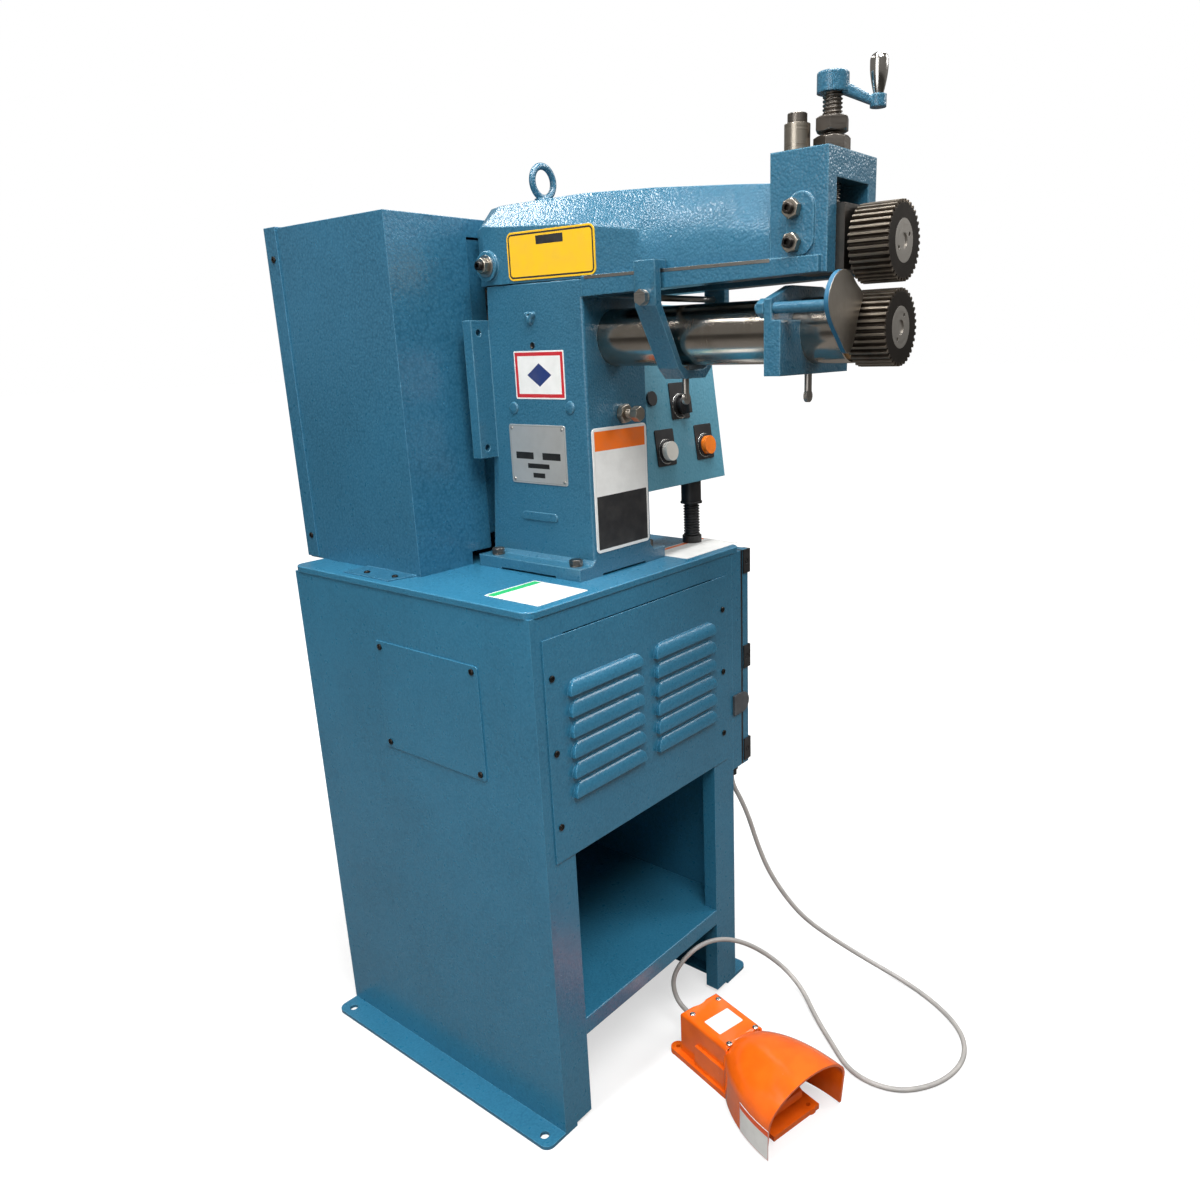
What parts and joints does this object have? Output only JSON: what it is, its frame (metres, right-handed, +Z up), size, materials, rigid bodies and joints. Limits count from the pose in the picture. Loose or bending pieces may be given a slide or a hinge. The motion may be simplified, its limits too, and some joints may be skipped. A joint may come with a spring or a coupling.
{
  "type": "rotary bead and crimp rolling machine",
  "caption": "Motor-driven rolling machine with two overhung crimping rolls at the end of a cast arm, on a sheet-metal cabinet stand with a hooded foot switch.",
  "frame": {"origin": "middle of the four anchor holes, on the floor under the cabinet", "axes": "+Z is up, -Y points at the operator, +X is to the operator's right"},
  "size_m": [0.6584, 0.992, 1.428],
  "materials": {
    "cabinet_paint": "teal-blue paint with a fine hammertone",
    "frame_paint": "teal-blue paint, coarse hammertone over a casting",
    "motor_paint": "grey enamel",
    "dark_grey_paint": "satin",
    "orange_enamel": "gloss",
    "polished_steel": "turned and polished",
    "machined_steel": "machined",
    "brushed_plate": "brushed",
    "roll_steel": "hardened, brown-black",
    "forged_steel": "forged",
    "plated_screws": "zinc plated",
    "plate_aluminium": "satin",
    "cast_iron": "as cast",
    "bush_bronze": "machined",
    "black_plastic": "matte",
    "switch_plastic": "matte",
    "cable_grey": "satin, silver-grey jacket",
    "button_white": "gloss",
    "button_amber": "gloss",
    "belt_rubber": "matte"
  },
  "bodies": {
    "machine": {"access_cover": "cabinet_paint", "cabinet_shell": "cabinet_paint", "cabinet_top": "cabinet_paint", "conduit_hose": "black_plastic", "control_box": "cabinet_paint", "cover_screws": "plated_screws", "door_hasp": "dark_grey_paint", "drive_belt": "belt_rubber", "drive_motor": "motor_paint", "enclosure_box": "cabinet_paint", "eye_bolt": "frame_paint", "foot_base": "orange_enamel", "foot_cable": "cable_grey", "foot_housing": "orange_enamel", "frame_casting": "frame_paint", "frame_fasteners": "machined_steel", "gear_reducer": "motor_paint", "guard_rear_cover": "cabinet_paint", "guard_shell": "cabinet_paint", "lift_spring": "machined_steel", "louvre_panel": "cabinet_paint", "lower_arm_tube": "polished_steel", "name_plates": "plate_aluminium", "panel_fittings": "black_plastic", "seals_and_glands": "black_plastic", "shaft_bushes": "bush_bronze", "spring_housing": "forged_steel", "storage_shelf": "cabinet_paint", "switchgear": "switch_plastic"},
    "lower_drive": {"lower_shaft": "machined_steel", "lower_gear": "machined_steel", "lower_roll": "roll_steel", "lower_roll_retainer": "brushed_plate", "driven_pulley": "cast_iron"},
    "motor_pulley": {"drive_pulley": "cast_iron"},
    "cradle": {"bearing_block": "cast_iron", "rear_bearing": "cast_iron"},
    "upper_drive": {"upper_shaft": "machined_steel", "upper_gear": "machined_steel", "upper_roll": "roll_steel", "upper_roll_retainer": "brushed_plate"},
    "screw_slide": {"screw_shoe": "machined_steel"},
    "crank": {"crank_screw": "machined_steel", "crank_arm": "frame_paint", "stop_nut": "machined_steel"},
    "handle": {"crank_handle": "polished_steel"},
    "lifter": {"lift_bolt": "machined_steel"},
    "strap": {"brace_strap": "frame_paint", "strap_bolt": "machined_steel"},
    "strap_thumb": {"strap_screw": "machined_steel"},
    "gauge": {"gauge_bracket": "frame_paint", "gauge_rod": "frame_paint", "gauge_plate": "brushed_plate"},
    "gauge_thumb": {"gauge_screw": "machined_steel"},
    "door": {"enclosure_door": "cabinet_paint", "door_clamps": "black_plastic"},
    "selector": {"selector_knob": "black_plastic"},
    "start": {"start_button": "button_white"},
    "stop": {"stop_button": "button_amber"},
    "treadle": {"foot_treadle": "orange_enamel"}
  },
  "joints": [
    {"name": "roll_drive", "type": "hinge", "parent": "machine", "child": "lower_drive", "pos_m": [0.024, 0, 1.142], "axis": [0, 1, 0], "continuous": true},
    {"name": "motor_drive", "type": "hinge", "parent": "machine", "child": "motor_pulley", "pos_m": [0.024, 0.129, 0.56], "axis": [0, 1, 0], "continuous": true},
    {"name": "cradle_tilt", "type": "hinge", "parent": "machine", "child": "cradle", "pos_m": [0.024, -0.037, 1.244], "axis": [1, 0, 0], "range_deg": [-0.57, 0.42], "stiffness_Nm_per_rad": 800, "springref_deg": -2.32},
    {"name": "upper_spin", "type": "hinge", "parent": "cradle", "child": "upper_drive", "pos_m": [0.024, 0, 1.2326], "axis": [0, 1, 0], "continuous": true},
    {"name": "screw_travel", "type": "slide", "parent": "machine", "child": "screw_slide", "axis": [0, 0, 1], "range_m": [-0.0036, 0.005]},
    {"name": "crank_turn", "type": "hinge", "parent": "screw_slide", "child": "crank", "pos_m": [0.024, -0.541, 1.34], "axis": [0, 0, 1], "range_deg": [-440, 620]},
    {"name": "handle_spin", "type": "hinge", "parent": "crank", "child": "handle", "pos_m": [0.048, -0.584, 1.4], "axis": [0, 0, 1], "continuous": true},
    {"name": "lift_travel", "type": "slide", "parent": "machine", "child": "lifter", "axis": [0, 0, 1], "range_m": [-0.0035, 0.0049], "deforming": ["lift_spring"]},
    {"name": "strap_slide", "type": "slide", "parent": "machine", "child": "strap", "axis": [0, 1, 0], "range_m": [-0.05, 0.075]},
    {"name": "strap_thumb_turn", "type": "hinge", "parent": "strap", "child": "strap_thumb", "pos_m": [0.024, -0.33, 1.09], "axis": [0, 0, 1], "continuous": true},
    {"name": "gauge_slide", "type": "slide", "parent": "machine", "child": "gauge", "axis": [0, 1, 0], "range_m": [-0.025, 0.08]},
    {"name": "gauge_thumb_turn", "type": "hinge", "parent": "gauge", "child": "gauge_thumb", "pos_m": [0.024, -0.515, 1.09], "axis": [0, 0, 1], "continuous": true},
    {"name": "door_hinge", "type": "hinge", "parent": "machine", "child": "door", "pos_m": [0.2805, 0.119, 0.6], "axis": [0, 0, 1], "range_deg": [0, 110]},
    {"name": "selector_turn", "type": "hinge", "parent": "machine", "child": "selector", "pos_m": [0.201, -0.18439, 1.038], "axis": [0, -0.9918, 0.1279], "range_deg": [-45, 45]},
    {"name": "start_press", "type": "slide", "parent": "machine", "child": "start", "axis": [0, 0.9918, -0.1279], "range_m": [0, 0.003], "stiffness_N_per_m": 400, "springref_m": -0.004},
    {"name": "stop_press", "type": "slide", "parent": "machine", "child": "stop", "axis": [0, 0.9918, -0.1279], "range_m": [0, 0.003], "stiffness_N_per_m": 400, "springref_m": -0.004},
    {"name": "treadle_press", "type": "hinge", "parent": "machine", "child": "treadle", "pos_m": [0.01875, -0.42661, 0.034], "axis": [0.9724, -0.2334, 0], "range_deg": [0, 5.5], "stiffness_Nm_per_rad": 12, "springref_deg": -8.59}
  ],
  "couplings": [
    {"joint": "motor_drive", "follows": "roll_drive", "ratio": 4.1875},
    {"joint": "upper_spin", "follows": "roll_drive", "ratio": -1},
    {"joint": "cradle_tilt", "follows": "crank_turn", "ratio": -0.00089115},
    {"joint": "screw_travel", "follows": "crank_turn", "m_per_rad": 0.00044914},
    {"joint": "lift_travel", "follows": "crank_turn", "m_per_rad": 0.0004224}
  ]
}
